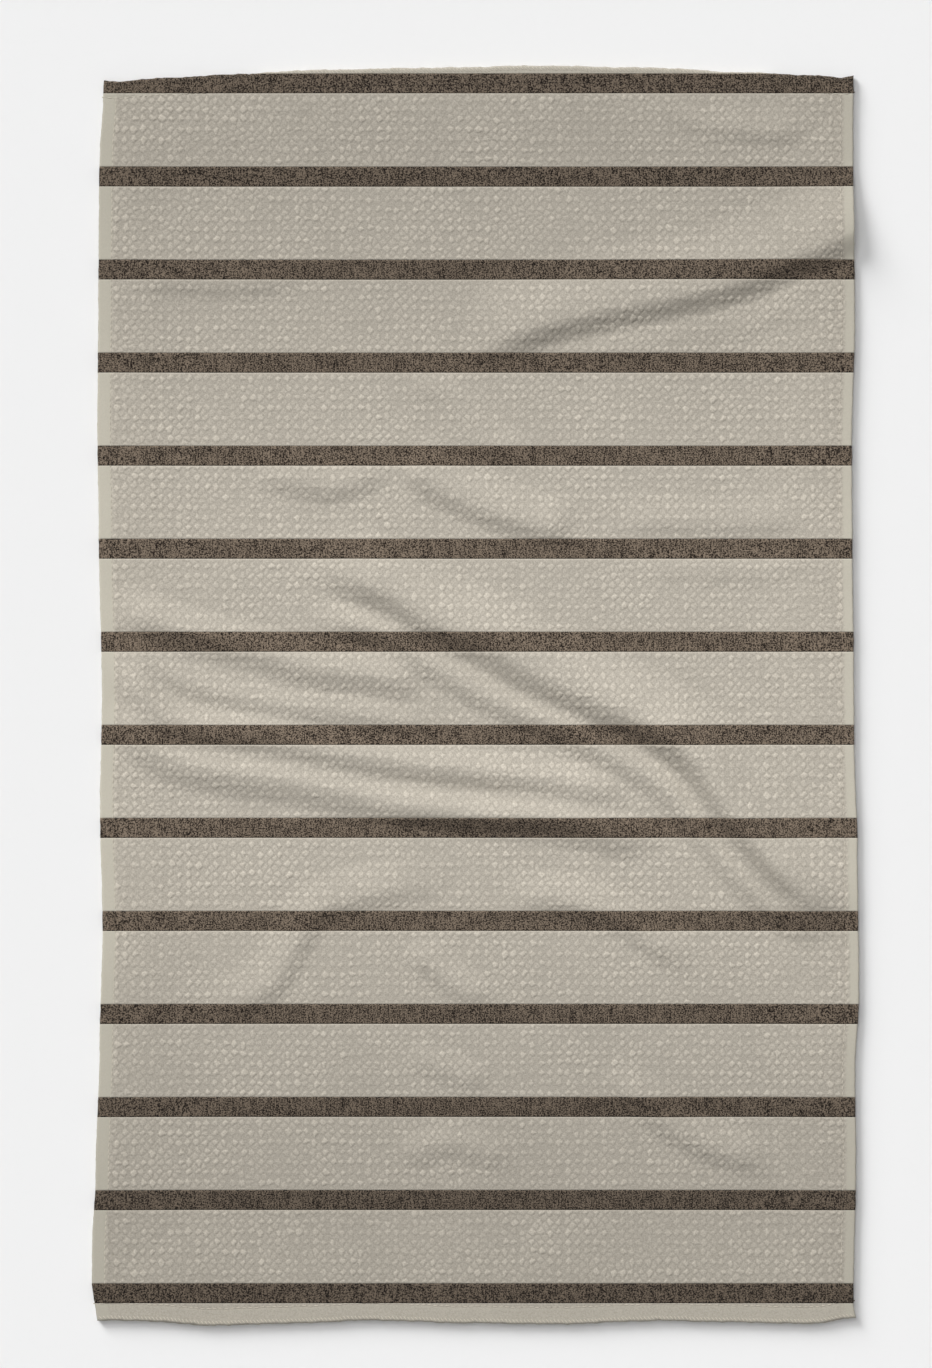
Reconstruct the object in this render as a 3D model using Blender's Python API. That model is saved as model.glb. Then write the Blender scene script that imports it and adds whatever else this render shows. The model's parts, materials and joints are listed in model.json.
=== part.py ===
"""A golf towel lying flat: waffle-weave cloth with woven dark stripes, turned hems and sewn seams.

The towel lies on the XY plane with its long side along Y and its face up. The origin is on the
surface that it lies on, under the middle of its outline. All sizes are in metres.

The cloth is one web, but its bands differ in yarn and weave, so each band is a solid of its own:
light waffle-woven bands and dark flat-woven stripes, meeting along straight picks of the weave.
Round the edge the cloth is folded under. The folded layer along each side is a separate strip,
and each hem is closed by a needle thread on the face and a bobbin thread on the back. The two
ends are also overlocked.
"""

import math

import bmesh
import bpy

MM = 0.001

# Overall size of the towel as it lies.
TOWEL_WIDTH = 0.386
TOWEL_LENGTH = 0.634

# The woven bands.
STRIPE_HEIGHT = 0.010
STRIPE_PITCH = 0.04683
FIRST_STRIPE_DROP = 0.009
LAST_PLAIN_END = 0.009
WAFFLE_THICKNESS = 0.0020
PLAIN_THICKNESS = 0.0014

# The hems: cloth folded under along each side and each end.
SIDE_HEM_WIDTH = 0.008
END_HEM_WIDTH = 0.010
TURNING_THICKNESS = 0.0010
SEAM_MARGIN = 0.0015

# Sewing thread, and the space that touching layers keep.
THREAD_WIDTH = 0.0006
THREAD_THICKNESS = 0.0003
OVERLOCK_WIDTH = 0.0025
OVERLOCK_THICKNESS = 0.0004
OVERLOCK_INSET = 0.0008
LAYER_GAP = 0.0003
FLOOR_GAP = 0.00005

# How finely the solids follow the outline and the creases.
FIELD_COLUMNS = 22
ROW_STEP = 0.013
END_COLUMNS = 22
THINNEST_STRIP = 0.0004

# Where the folded layer ends, the cloth comes down to the table over this distance.
SIDE_RAMP_START = 0.001
SIDE_RAMP = 0.009
END_RAMP_START = 0.006
END_RAMP = 0.014
PLAIN_TO_WAFFLE = 0.003

# How far each edge lies inside the overall size. The first number runs along the edge, from -1 at
# its low end to 1 at its high end, and the second is the inset in metres.
LEFT_INSETS = (
    (-1.00, 0.0026), (-0.93, 0.0), (-0.88, 0.0), (-0.76, 0.0018), (-0.56, 0.0038), (-0.37, 0.0053),
    (-0.18, 0.0040), (0.00, 0.0050), (0.26, 0.0034), (0.42, 0.0027), (0.64, 0.0032), (0.80, 0.0036),
    (0.93, 0.0058), (1.00, 0.0060),
)
RIGHT_INSETS = (
    (-1.00, 0.0025), (-0.90, 0.0030), (-0.74, 0.0015), (-0.60, 0.0020), (-0.47, 0.0), (-0.24, 0.0008),
    (-0.15, 0.0038), (0.08, 0.0027), (0.18, 0.0044), (0.40, 0.0040), (0.60, 0.0021), (0.85, 0.0030),
    (1.00, 0.0028),
)
TOP_INSETS = (
    (-1.00, 0.0064), (-0.94, 0.0080), (-0.80, 0.0064), (-0.60, 0.0042), (-0.44, 0.0022), (-0.10, 0.0010),
    (0.16, 0.0), (0.46, 0.0010), (0.70, 0.0036), (0.90, 0.0054), (0.97, 0.0072), (1.00, 0.0056),
)
BOTTOM_INSETS = (
    (-1.00, 0.0026), (-0.88, 0.0024), (-0.68, 0.0), (-0.50, 0.0010), (-0.27, 0.0026), (-0.02, 0.0012),
    (0.20, 0.0006), (0.48, 0.0030), (0.68, 0.0030), (0.86, 0.0022), (1.00, 0.0048),
)

# The creases, in millimetres from the towel's middle: points along the middle of the steep side of
# the fold, its height, and how far its gentle side reaches. The gentle side is on the left of the
# way that the points run.
CREASES_MM = (
    (((90, 292), (103, 289), (123, 283), (153, 280), (172, 283)), 2.2, 22),
    (((-6, 164), (22, 176), (53, 185), (83, 191), (113, 197), (138, 204), (158, 213), (176, 220),
      (215, 238), (240, 250)), 6.4, 34),
    (((27, 156), (63, 167), (103, 176), (143, 184), (178, 197)), 1.8, 14),
    (((-179, 206), (-149, 204), (-118, 203), (-83, 206)), 0.9, 12),
    (((-116, 109), (-93, 103), (-71, 100), (-51, 106), (-40, 115)), 1.6, 16),
    (((-42, 119), (-28, 104), (-8, 93), (17, 84), (50, 75)), 2.8, 20),
    (((63, 81), (93, 83), (133, 82), (173, 85)), 1.2, 16),
    (((-40, 154), (-18, 148), (-7, 133), (5, 121), (32, 117)), 0.9, 14),
    (((78, 62), (113, 58), (143, 58), (176, 65)), 0.7, 12),
    (((-86, 61), (-53, 48), (-23, 32), (2, 20), (27, 6), (58, -8), (88, -23), (105, -38), (123, -63),
      (143, -88), (173, -119)), 4.8, 28),
    (((-88, 37), (-53, 28), (-28, 13), (2, -4), (32, -18), (63, -33), (88, -48), (103, -63),
      (123, -89), (153, -116), (178, -131)), 3.4, 11),
    (((-183, 38), (-154, 28), (-118, 18), (-83, 8), (-48, 2), (-25, -5)), 2.4, 14),
    (((-179, 23), (-159, 8), (-129, -3), (-98, -9), (-48, -15), (-18, -21)), 1.8, 10),
    (((-185, 18), (-169, -8), (-149, -22), (-108, -28), (-68, -38), (-28, -45), (12, -50), (53, -55),
      (80, -60)), 2.6, 12),
    (((-187, -15), (-164, -35), (-139, -44), (-98, -51), (-58, -58), (-28, -63), (2, -67), (32, -70),
      (63, -75), (95, -83)), 5.0, 13),
    (((-134, -176), (-118, -161), (-98, -148), (-86, -128), (-76, -113), (-58, -106), (-33, -102),
      (-10, -100)), 2.2, 18),
    (((12, -105), (48, -109), (68, -116), (83, -126), (108, -143)), 1.6, 16),
    (((-38, -127), (-18, -146), (7, -161)), 1.4, 14),
    (((58, -191), (78, -206), (93, -219), (113, -231), (153, -243)), 2.0, 16),
    (((-38, -183), (-13, -194), (7, -201)), 0.9, 12),
    (((-40, -240), (-13, -231), (20, -240)), 0.9, 12),
)
STEEP_WIDTH = 0.016
CREASE_TAPER = 0.25
CALM_END = 0.015
CALM_BLEND = 0.030

WAFFLE_COLOUR = (0.426, 0.382, 0.323)
STRIPE_COLOUR = (0.103, 0.080, 0.063)
HEM_COLOUR = (0.480, 0.445, 0.380)
THREAD_COLOUR = (0.560, 0.520, 0.440)
CLOTH_ROUGHNESS = 0.92
THREAD_ROUGHNESS = 0.60

HALF_WIDTH = TOWEL_WIDTH / 2
HALF_LENGTH = TOWEL_LENGTH / 2
BOBBIN_SPACE = FLOOR_GAP + THREAD_THICKNESS + FLOOR_GAP
HEM_RISE = BOBBIN_SPACE + TURNING_THICKNESS + LAYER_GAP


def smoothstep(value):
    """Eases from 0 to 1, flat at both ends."""
    t = min(max(value, 0.0), 1.0)
    return t * t * (3.0 - 2.0 * t)


def along(points, place):
    """The value of a smooth curve through (place, value) points."""
    if place <= points[0][0]:
        return points[0][1]
    for (start, low), (end, high) in zip(points, points[1:]):
        if place <= end:
            return low + (high - low) * smoothstep((place - start) / (end - start))
    return points[-1][1]


def left_edge(y):
    """X of the left edge at height y."""
    return along(LEFT_INSETS, y / HALF_LENGTH) - HALF_WIDTH


def right_edge(y):
    """X of the right edge at height y."""
    return HALF_WIDTH - along(RIGHT_INSETS, y / HALF_LENGTH)


def top_edge(x):
    """Y of the top edge at x."""
    return HALF_LENGTH - along(TOP_INSETS, x / HALF_WIDTH)


def bottom_edge(x):
    """Y of the bottom edge at x."""
    return along(BOTTOM_INSETS, x / HALF_WIDTH) - HALF_LENGTH


def crease_runs():
    """Each crease in metres, as its straight runs: start, direction, length and share of the way."""
    creases = []
    for points_mm, height_mm, gentle_mm in CREASES_MM:
        points = [(x * MM, y * MM) for x, y in points_mm]
        lengths = [math.dist(a, b) for a, b in zip(points, points[1:])]
        total, done, runs = sum(lengths), 0.0, []
        for (ax, ay), (bx, by), length in zip(points, points[1:], lengths):
            runs.append((ax, ay, (bx - ax) / length, (by - ay) / length, length, done / total))
            done += length
        creases.append((runs, total, height_mm * MM, gentle_mm * MM))
    return creases


CREASES = crease_runs()


def crease_height(crease, x, y):
    """How far one crease lifts the cloth at (x, y)."""
    runs, total, height, gentle = crease
    nearest, share = math.inf, 0.0
    for ax, ay, ux, uy, length, done in runs:
        run = min(max((x - ax) * ux + (y - ay) * uy, 0.0), length)
        dx, dy = x - ax - ux * run, y - ay - uy * run
        distance = math.hypot(dx, dy)
        if distance < abs(nearest):
            nearest = math.copysign(distance, ux * dy - uy * dx)
            share = done + run / total
    half = STEEP_WIDTH / 2
    if nearest < half:
        profile = smoothstep((nearest + half) / STEEP_WIDTH)
    else:
        profile = 1.0 - smoothstep((nearest - half) / gentle)
    return height * profile * smoothstep(min(share, 1.0 - share) / CREASE_TAPER)


def crease_lift(x, y):
    """Height of the cloth's underside above the table from all creases, 0 where it lies calm."""
    from_end = min(HALF_LENGTH - y, HALF_LENGTH + y)
    calm = smoothstep((from_end - CALM_END) / CALM_BLEND)
    return calm * sum(crease_height(crease, x, y) for crease in CREASES)


def side_distance(x, y):
    """Distance from (x, y) to the nearer side edge."""
    return min(x - left_edge(y), right_edge(y) - x)


def end_distance(x, y):
    """Distance from (x, y) to the nearer end edge."""
    return min(top_edge(x) - y, y - bottom_edge(x))


def hem_raise(x, y):
    """How far the folded layer below lifts the cloth at (x, y)."""
    side = 1.0 - smoothstep((side_distance(x, y) - SIDE_HEM_WIDTH - SIDE_RAMP_START) / SIDE_RAMP)
    end = 1.0 - smoothstep((end_distance(x, y) - END_HEM_WIDTH - END_RAMP_START) / END_RAMP)
    return HEM_RISE * max(side, end)


def cloth_bottom(x, y):
    """Height of the cloth's underside."""
    return crease_lift(x, y) + hem_raise(x, y)


def plain_top(x, y):
    """Height of the face of flat-woven cloth."""
    return cloth_bottom(x, y) + PLAIN_THICKNESS


def waffle_top(x, y):
    """Height of the face of waffle cloth, which is woven plain along the towel's edges."""
    beyond = min(side_distance(x, y) - SIDE_HEM_WIDTH, end_distance(x, y) - END_HEM_WIDTH)
    extra = WAFFLE_THICKNESS - PLAIN_THICKNESS
    return plain_top(x, y) + extra * smoothstep(beyond / PLAIN_TO_WAFFLE)


def finish_material(name, colour, roughness):
    """A plain cloth or thread material."""
    material = bpy.data.materials.new(name)
    material.use_nodes = True
    shader = material.node_tree.nodes["Principled BSDF"]
    shader.inputs["Base Color"].default_value = (*colour, 1.0)
    shader.inputs["Roughness"].default_value = roughness
    shader.inputs["Metallic"].default_value = 0.0
    return material


def slab(name, grid, bottom, top, material):
    """A closed slab over a grid of (x, y) points, between two height functions.

    The grid's rows run up and its points run to the right, and every cell is split the same way,
    so that slabs that lie on each other bend alike.
    """
    bm = bmesh.new()
    rows = [[bm.verts.new((x, y, 0.0)) for x, y in row] for row in grid]
    for lower, upper in zip(rows, rows[1:]):
        for i in range(len(lower) - 1):
            bm.faces.new((lower[i], lower[i + 1], upper[i + 1]))
            bm.faces.new((lower[i], upper[i + 1], upper[i]))
    under = list(bm.verts)
    raised = bmesh.ops.extrude_face_region(bm, geom=list(bm.faces))["geom"]
    over = [item for item in raised if isinstance(item, bmesh.types.BMVert)]
    for vertex in under:
        vertex.co.z = bottom(vertex.co.x, vertex.co.y)
    for vertex in over:
        vertex.co.z = top(vertex.co.x, vertex.co.y)
    bmesh.ops.recalc_face_normals(bm, faces=list(bm.faces))
    mesh = bpy.data.meshes.new(name)
    bm.to_mesh(mesh)
    bm.free()
    mesh.materials.append(material)
    made = bpy.data.objects.new(name, mesh)
    bpy.context.scene.collection.objects.link(made)
    return made


def seam_edges(width):
    """How far inside the towel's edge the two sides of a seam's thread lie."""
    seam = width - SEAM_MARGIN
    return seam - THREAD_WIDTH / 2, seam + THREAD_WIDTH / 2


def field_columns():
    """Shares of the width where the grid has a column: at each seam, hem edge and ramp end."""
    hem_end = SIDE_HEM_WIDTH + SIDE_RAMP_START
    ramp = (hem_end + SIDE_RAMP) / TOWEL_WIDTH
    rim = [0.0, *(inset / TOWEL_WIDTH for inset in (*seam_edges(SIDE_HEM_WIDTH), hem_end))]
    inner = [ramp + (1.0 - 2.0 * ramp) * i / FIELD_COLUMNS for i in range(FIELD_COLUMNS + 1)]
    return [*rim, *inner, *(1.0 - share for share in reversed(rim))]


def across(share, y):
    """X at a share of the width, at height y."""
    return left_edge(y) + share * (right_edge(y) - left_edge(y))


def meet(share, bound):
    """The point where a column meets a bound that gives y for x."""
    x = (share - 0.5) * TOWEL_WIDTH
    for _ in range(5):
        x = across(share, bound(x))
    return x, bound(x)


def band_height(share, lower, upper):
    """How tall a band is along one column."""
    return meet(share, upper)[1] - meet(share, lower)[1]


def band_end(inside, outside, lower, upper):
    """The share of the width where a band narrows to the thinnest strip."""
    for _ in range(24):
        middle = (inside + outside) / 2
        if band_height(middle, lower, upper) > THINNEST_STRIP:
            inside = middle
        else:
            outside = middle
    return inside


def band_columns(lower, upper):
    """The columns that a band covers, ending early where the towel's edge cuts it off."""
    columns = field_columns()
    tall = [share for share in columns if band_height(share, lower, upper) > THINNEST_STRIP]
    if not tall:
        return []
    first, last = columns.index(tall[0]), columns.index(tall[-1])
    if first > 0:
        tall.insert(0, band_end(tall[0], columns[first - 1], lower, upper))
    if last < len(columns) - 1:
        tall.append(band_end(tall[-1], columns[last + 1], lower, upper))
    return tall


def band_grid(lower, upper, rows):
    """Grid points of a band between two bounds."""
    columns = band_columns(lower, upper)
    grid = []
    for row in range(rows + 1):
        points = []
        for share in columns:
            low, high = meet(share, lower)[1], meet(share, upper)[1]
            y = low + (high - low) * row / rows
            points.append((across(share, y), y))
        grid.append(points)
    return grid


def level(y):
    """A straight bound at height y, cut off by the towel's ends."""
    return lambda x: min(max(y, bottom_edge(x)), top_edge(x))


def stripe_centres():
    """Heights of the stripes' centre lines, from the top, as many as the length takes."""
    top = HALF_LENGTH - FIRST_STRIPE_DROP
    lowest = LAST_PLAIN_END + STRIPE_HEIGHT / 2 - HALF_LENGTH
    count = int((top - lowest) / STRIPE_PITCH) + 1
    return [top - STRIPE_PITCH * i for i in range(count)]


def woven_bands():
    """Every woven band from the top down: its name, and its lower and upper height."""
    bands, upper = [], HALF_LENGTH
    for i, centre in enumerate(stripe_centres()):
        high, low = centre + STRIPE_HEIGHT / 2, centre - STRIPE_HEIGHT / 2
        bands.append((f"waffle_band_{i:02d}" if i else "top_plain_end", high, upper))
        bands.append((f"stripe_{i + 1:02d}", low, high))
        upper = low
    bands.append(("bottom_plain_end", -HALF_LENGTH, upper))
    return bands


def row_count(low, high):
    """How many rows of cells a band between two heights takes."""
    return max(1, math.ceil((high - low) / ROW_STEP))


def make_bands(waffle_material, stripe_material):
    """Every woven band, from the top down."""
    for name, low, high in woven_bands():
        grid = band_grid(level(low), level(high), row_count(low, high))
        if not grid[0]:
            continue
        if name.startswith("stripe"):
            slab(name, grid, cloth_bottom, plain_top, stripe_material)
        else:
            slab(name, grid, cloth_bottom, waffle_top, waffle_material)


def side_rows(start, end):
    """Heights of a side strip's rows between its two ends: those of the bands that it passes."""
    rows = []
    for _, low, high in woven_bands():
        count = row_count(low, high)
        rows += [low + (high - low) * i / count for i in range(count)]
    return sorted(y for y in rows if start + THINNEST_STRIP < y < end - THINNEST_STRIP)


def side_strip(side, insets, clear):
    """Grid of a strip along one side, at these distances inside the edge, clear of the ends."""
    sign = -1 if side == "left" else 1
    edge = left_edge if side == "left" else right_edge
    ordered = insets if side == "left" else insets[::-1]
    lows = [bottom_edge(edge(-HALF_LENGTH) - sign * inset) + clear for inset in ordered]
    highs = [top_edge(edge(HALF_LENGTH) - sign * inset) - clear for inset in ordered]
    rows = [[y] * len(ordered) for y in side_rows(max(lows), min(highs))]
    rows = [lows, *rows, highs]
    return [[(edge(y) - sign * inset, y) for inset, y in zip(ordered, row)] for row in rows]


def end_strip(end, insets, clear):
    """Grid of a strip along one end, at these distances inside the edge, clear of the sides."""
    sign = -1 if end == "bottom" else 1
    edge = bottom_edge if end == "bottom" else top_edge
    height = sign * HALF_LENGTH
    first, last = left_edge(height), right_edge(height)
    rim = [clear, *(inset for inset in (*seam_edges(SIDE_HEM_WIDTH), SIDE_HEM_WIDTH) if inset > clear)]
    step = (last - first - 2 * rim[-1]) / END_COLUMNS
    inner = [first + rim[-1] + step * i for i in range(1, END_COLUMNS)]
    places = [*(first + inset for inset in rim), *inner, *(last - inset for inset in reversed(rim))]
    ordered = insets if end == "bottom" else insets[::-1]
    return [[(x, edge(x) - sign * inset) for x in places] for inset in ordered]


def turning_bottom(x, y):
    """Height of the folded layer's underside, just above its bobbin thread."""
    return crease_lift(x, y) + BOBBIN_SPACE


def turning_top(x, y):
    """Height of the folded layer's upper side."""
    return turning_bottom(x, y) + TURNING_THICKNESS


def bobbin_bottom(x, y):
    """Height of a bobbin thread's underside, just above the table where the cloth lies calm."""
    return crease_lift(x, y) + FLOOR_GAP


def bobbin_top(x, y):
    """Height of a bobbin thread's upper side."""
    return bobbin_bottom(x, y) + THREAD_THICKNESS


def needle_bottom(x, y):
    """Height of a needle thread's underside."""
    return waffle_top(x, y) + LAYER_GAP


def needle_top(x, y):
    """Height of a needle thread's upper side."""
    return needle_bottom(x, y) + THREAD_THICKNESS


def overlock_top(x, y):
    """Height of an overlock thread's upper side."""
    return needle_bottom(x, y) + OVERLOCK_THICKNESS


def make_hem(place, strip, width, corner, hem_material, thread_material):
    """The folded layer along one edge, with the two threads of its seam."""
    thread = seam_edges(width)
    turning = strip(place, (LAYER_GAP, *thread, width), corner)
    slab(f"{place}_hem_turning", turning, turning_bottom, turning_top, hem_material)
    seam_line = strip(place, thread, corner)
    slab(f"{place}_hem_needle_thread", seam_line, needle_bottom, needle_top, thread_material)
    slab(f"{place}_hem_bobbin_thread", seam_line, bobbin_bottom, bobbin_top, thread_material)


def make_overlock(end, thread_material):
    """The overlock stitching along one end, beyond the hem's seam."""
    insets = (OVERLOCK_INSET, OVERLOCK_INSET + OVERLOCK_WIDTH)
    grid = end_strip(end, insets, SIDE_HEM_WIDTH)
    slab(f"{end}_overlock_thread", grid, needle_bottom, overlock_top, thread_material)


def main():
    """Builds every piece of the towel."""
    for found in list(bpy.data.objects):
        bpy.data.objects.remove(found, do_unlink=True)
    waffle = finish_material("waffle_cloth", WAFFLE_COLOUR, CLOTH_ROUGHNESS)
    stripe = finish_material("stripe_cloth", STRIPE_COLOUR, CLOTH_ROUGHNESS)
    hem = finish_material("hem_cloth", HEM_COLOUR, CLOTH_ROUGHNESS)
    thread = finish_material("sewing_thread", THREAD_COLOUR, THREAD_ROUGHNESS)
    make_bands(waffle, stripe)
    side_corner = END_HEM_WIDTH + LAYER_GAP
    end_corner = LAYER_GAP
    for place in ("left", "right"):
        make_hem(place, side_strip, SIDE_HEM_WIDTH, side_corner, hem, thread)
    for place in ("top", "bottom"):
        make_hem(place, end_strip, END_HEM_WIDTH, end_corner, hem, thread)
        make_overlock(place, thread)


main()
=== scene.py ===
"""A golf towel lying flat: waffle cloth with heathered stripes, turned hems, seams and overlocking.

All sizes are in metres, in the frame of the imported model: the towel lies on the XY plane with its
long side along Y and its face up. The towel is one web of cloth. Here it is a ground cloth, with
the relief of each woven band as a piece of its own on it, the folded layers of the hems under it,
and the threads that sew them.
"""

import json
import logging
import math
from dataclasses import dataclass, field
from enum import Enum
from typing import Any, Callable, Optional, Union

import bpy
import numpy as np
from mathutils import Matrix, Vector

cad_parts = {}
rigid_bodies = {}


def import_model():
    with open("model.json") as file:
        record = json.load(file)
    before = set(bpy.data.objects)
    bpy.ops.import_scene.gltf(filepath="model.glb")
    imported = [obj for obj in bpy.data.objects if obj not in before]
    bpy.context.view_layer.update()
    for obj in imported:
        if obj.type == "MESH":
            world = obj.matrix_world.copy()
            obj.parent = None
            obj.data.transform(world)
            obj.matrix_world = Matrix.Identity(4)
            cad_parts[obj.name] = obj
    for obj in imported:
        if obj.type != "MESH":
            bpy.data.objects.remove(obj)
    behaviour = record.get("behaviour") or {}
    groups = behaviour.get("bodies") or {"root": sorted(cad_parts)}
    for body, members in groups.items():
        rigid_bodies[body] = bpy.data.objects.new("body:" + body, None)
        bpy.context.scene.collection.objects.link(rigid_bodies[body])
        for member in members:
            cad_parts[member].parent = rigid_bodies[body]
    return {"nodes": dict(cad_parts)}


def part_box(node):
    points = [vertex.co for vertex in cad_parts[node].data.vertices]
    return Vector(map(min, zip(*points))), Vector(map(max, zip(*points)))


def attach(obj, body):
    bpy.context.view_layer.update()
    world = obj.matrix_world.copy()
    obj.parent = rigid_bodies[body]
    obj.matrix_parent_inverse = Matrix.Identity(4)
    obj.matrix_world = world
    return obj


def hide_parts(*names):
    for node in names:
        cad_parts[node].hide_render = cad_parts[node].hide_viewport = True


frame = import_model()

LOG = logging.getLogger("golf_towel")
MM = 0.001
BODY = "root"

# Bands and sheets are drawn this far past the towel's ends and then cut to its edge.
BEYOND = 1 * MM
# A point on a slanting edge is worked out this many times, each from the last.
PASSES = 4
# Points over the quarter round of a rolled edge, and how much of its radius the cloth drops there.
RIM_POINTS = 5
RIM_DROP = 0.97
# Most of a noise's values lie in this span.
NOISE_LOW, NOISE_HIGH = 0.3, 0.7
# The bands of a wave texture lie this far apart at a scale of 1.
WAVE_PITCH = 0.314

Table = tuple[tuple[float, float], ...]
Places = Union[float, np.ndarray]
Sockets = tuple[Optional[bpy.types.NodeSocket], Optional[bpy.types.NodeSocket]]


def smooth(value: Places) -> np.ndarray:
    """Eases from 0 to 1, flat at both ends.

    Args:
        value: Any numbers; those outside 0 to 1 are clipped.

    Returns:
        The eased numbers.
    """
    t = np.clip(value, 0.0, 1.0)
    return t * t * (3.0 - 2.0 * t)


def along(table: Table, place: Places) -> np.ndarray:
    """Reads a smooth curve through the points of a table.

    Args:
        table: Rows of (place, value), with places in rising order.
        place: Where to read the curve.

    Returns:
        The curve's values.
    """
    places = np.array([row[0] for row in table])
    values = np.array([row[1] for row in table])
    index = np.clip(np.searchsorted(places, place) - 1, 0, len(places) - 2)
    share = smooth((place - places[index]) / (places[index + 1] - places[index]))
    return values[index] + (values[index + 1] - values[index]) * share


def rim(radius: float) -> np.ndarray:
    """Distances inside a rolled edge where its points lie, closest together at the edge."""
    return radius * (1.0 - np.cos(np.linspace(0.0, math.pi / 2, RIM_POINTS)))


def roll_off(inside: np.ndarray, radius: float) -> np.ndarray:
    """How far a rolled edge of a radius drops, at distances inside the edge."""
    short = 1.0 - np.clip(inside / radius, 0.0, 1.0)
    return RIM_DROP * radius * (1.0 - np.sqrt(1.0 - short ** 2))


def linear(colour: str) -> tuple[float, float, float, float]:
    """Turns an sRGB hex colour into the linear one that a shader takes.

    Args:
        colour: Six hex digits after a hash.

    Returns:
        Linear red, green, blue and an alpha of 1.
    """
    shares = [int(colour[i:i + 2], 16) / 255.0 for i in (1, 3, 5)]
    levels = [s / 12.92 if s <= 0.04045 else ((s + 0.055) / 1.055) ** 2.4 for s in shares]
    return (*levels, 1.0)


def add(tree: bpy.types.NodeTree, kind: str, settings: Optional[dict[str, Any]] = None,
        inputs: Optional[dict[Union[int, str], Any]] = None) -> bpy.types.Node:
    """Adds one node to a tree, with its settings and links.

    Args:
        tree: The shader or geometry tree.
        kind: The node's type.
        settings: The node's own properties.
        inputs: For each input socket, by name or number, a value, or a node or socket to link.

    Returns:
        The new node.
    """
    node = tree.nodes.new(kind)
    for name, value in (settings or {}).items():
        setattr(node, name, value)
    for name, value in (inputs or {}).items():
        if isinstance(value, bpy.types.Node):
            value = next(socket for socket in value.outputs if socket.enabled)
        if isinstance(value, bpy.types.NodeSocket):
            tree.links.new(value, node.inputs[name])
        else:
            node.inputs[name].default_value = value
    return node


def put(name: str, data: Any) -> bpy.types.Object:
    """Puts a mesh, a lamp or a camera in the scene as a new object."""
    made = bpy.data.objects.new(name, data)
    bpy.context.scene.collection.objects.link(made)
    return made


class Side(Enum):
    """An edge of the towel."""

    LEFT = "left"
    RIGHT = "right"
    TOP = "top"
    BOTTOM = "bottom"

    @property
    def upright(self) -> bool:
        """True for the two long edges."""
        return self in (Side.LEFT, Side.RIGHT)


class Weave(Enum):
    """How a band of the towel is woven."""

    WAFFLE = "waffle"
    STRIPE = "stripe"
    PLAIN_END = "plain end"


@dataclass(frozen=True)
class Crease:
    """A crease, steep on one side and gentle on the other.

    The points run along the middle of the steep side, in millimetres from the towel's middle, with
    the gentle side on the left of their way.
    """

    points: tuple[tuple[float, float], ...]
    height: float
    steep: float
    gentle: float
    taper: float = 0.25
    spans: int = 6

    def line(self) -> np.ndarray:
        """Rounds the points off into a curve.

        Returns:
            Points in metres along a curve through the crease's own points.
        """
        p = np.array(self.points) * MM
        p = np.vstack([2 * p[0] - p[1], p, 2 * p[-1] - p[-2]])
        t = (np.arange(self.spans) / self.spans)[:, None]
        runs = []
        for a, b, c, d in zip(p, p[1:], p[2:], p[3:]):
            bend = (2 * a - 5 * b + 4 * c - d) * t ** 2 + (3 * b - a - 3 * c + d) * t ** 3
            runs.append(0.5 * (2 * b + (c - a) * t + bend))
        return np.vstack([*runs, p[-2:-1]])

    def lift(self, x: np.ndarray, y: np.ndarray) -> np.ndarray:
        """Finds how far the crease raises the cloth.

        Args:
            x: Places across the towel.
            y: Places along the towel.

        Returns:
            Heights of the same shape as x.
        """
        line = self.line()
        reach = (self.steep / 2 + self.gentle) * MM
        low, high = line.min(axis=0) - reach, line.max(axis=0) + reach
        near = (x > low[0]) & (x < high[0]) & (y > low[1]) & (y < high[1])
        lifted = np.zeros(x.shape)
        px, py = x[near], y[near]
        if not px.size:
            return lifted
        steps = np.diff(line, axis=0)
        lengths = np.hypot(steps[:, 0], steps[:, 1])
        total, done = lengths.sum(), 0.0
        best = np.full(px.shape, np.inf)
        signed, share = np.zeros(px.shape), np.zeros(px.shape)
        for start, step, length in zip(line, steps, lengths):
            ux, uy = step / length
            run = np.clip((px - start[0]) * ux + (py - start[1]) * uy, 0.0, length)
            dx, dy = px - start[0] - ux * run, py - start[1] - uy * run
            distance = np.hypot(dx, dy)
            closer = distance < best
            best = np.where(closer, distance, best)
            signed = np.where(closer, np.where(ux * dy >= uy * dx, distance, -distance), signed)
            share = np.where(closer, (done + run) / total, share)
            done += length
        steep, gentle = self.steep * MM, self.gentle * MM
        rise = smooth((signed + steep / 2) / steep)
        fall = 1.0 - smooth((signed - steep / 2) / gentle)
        profile = np.where(signed < steep / 2, rise, fall)
        ends = smooth(np.minimum(share, 1.0 - share) / self.taper)
        lifted[near] = self.height * MM * profile * ends
        return lifted


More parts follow.
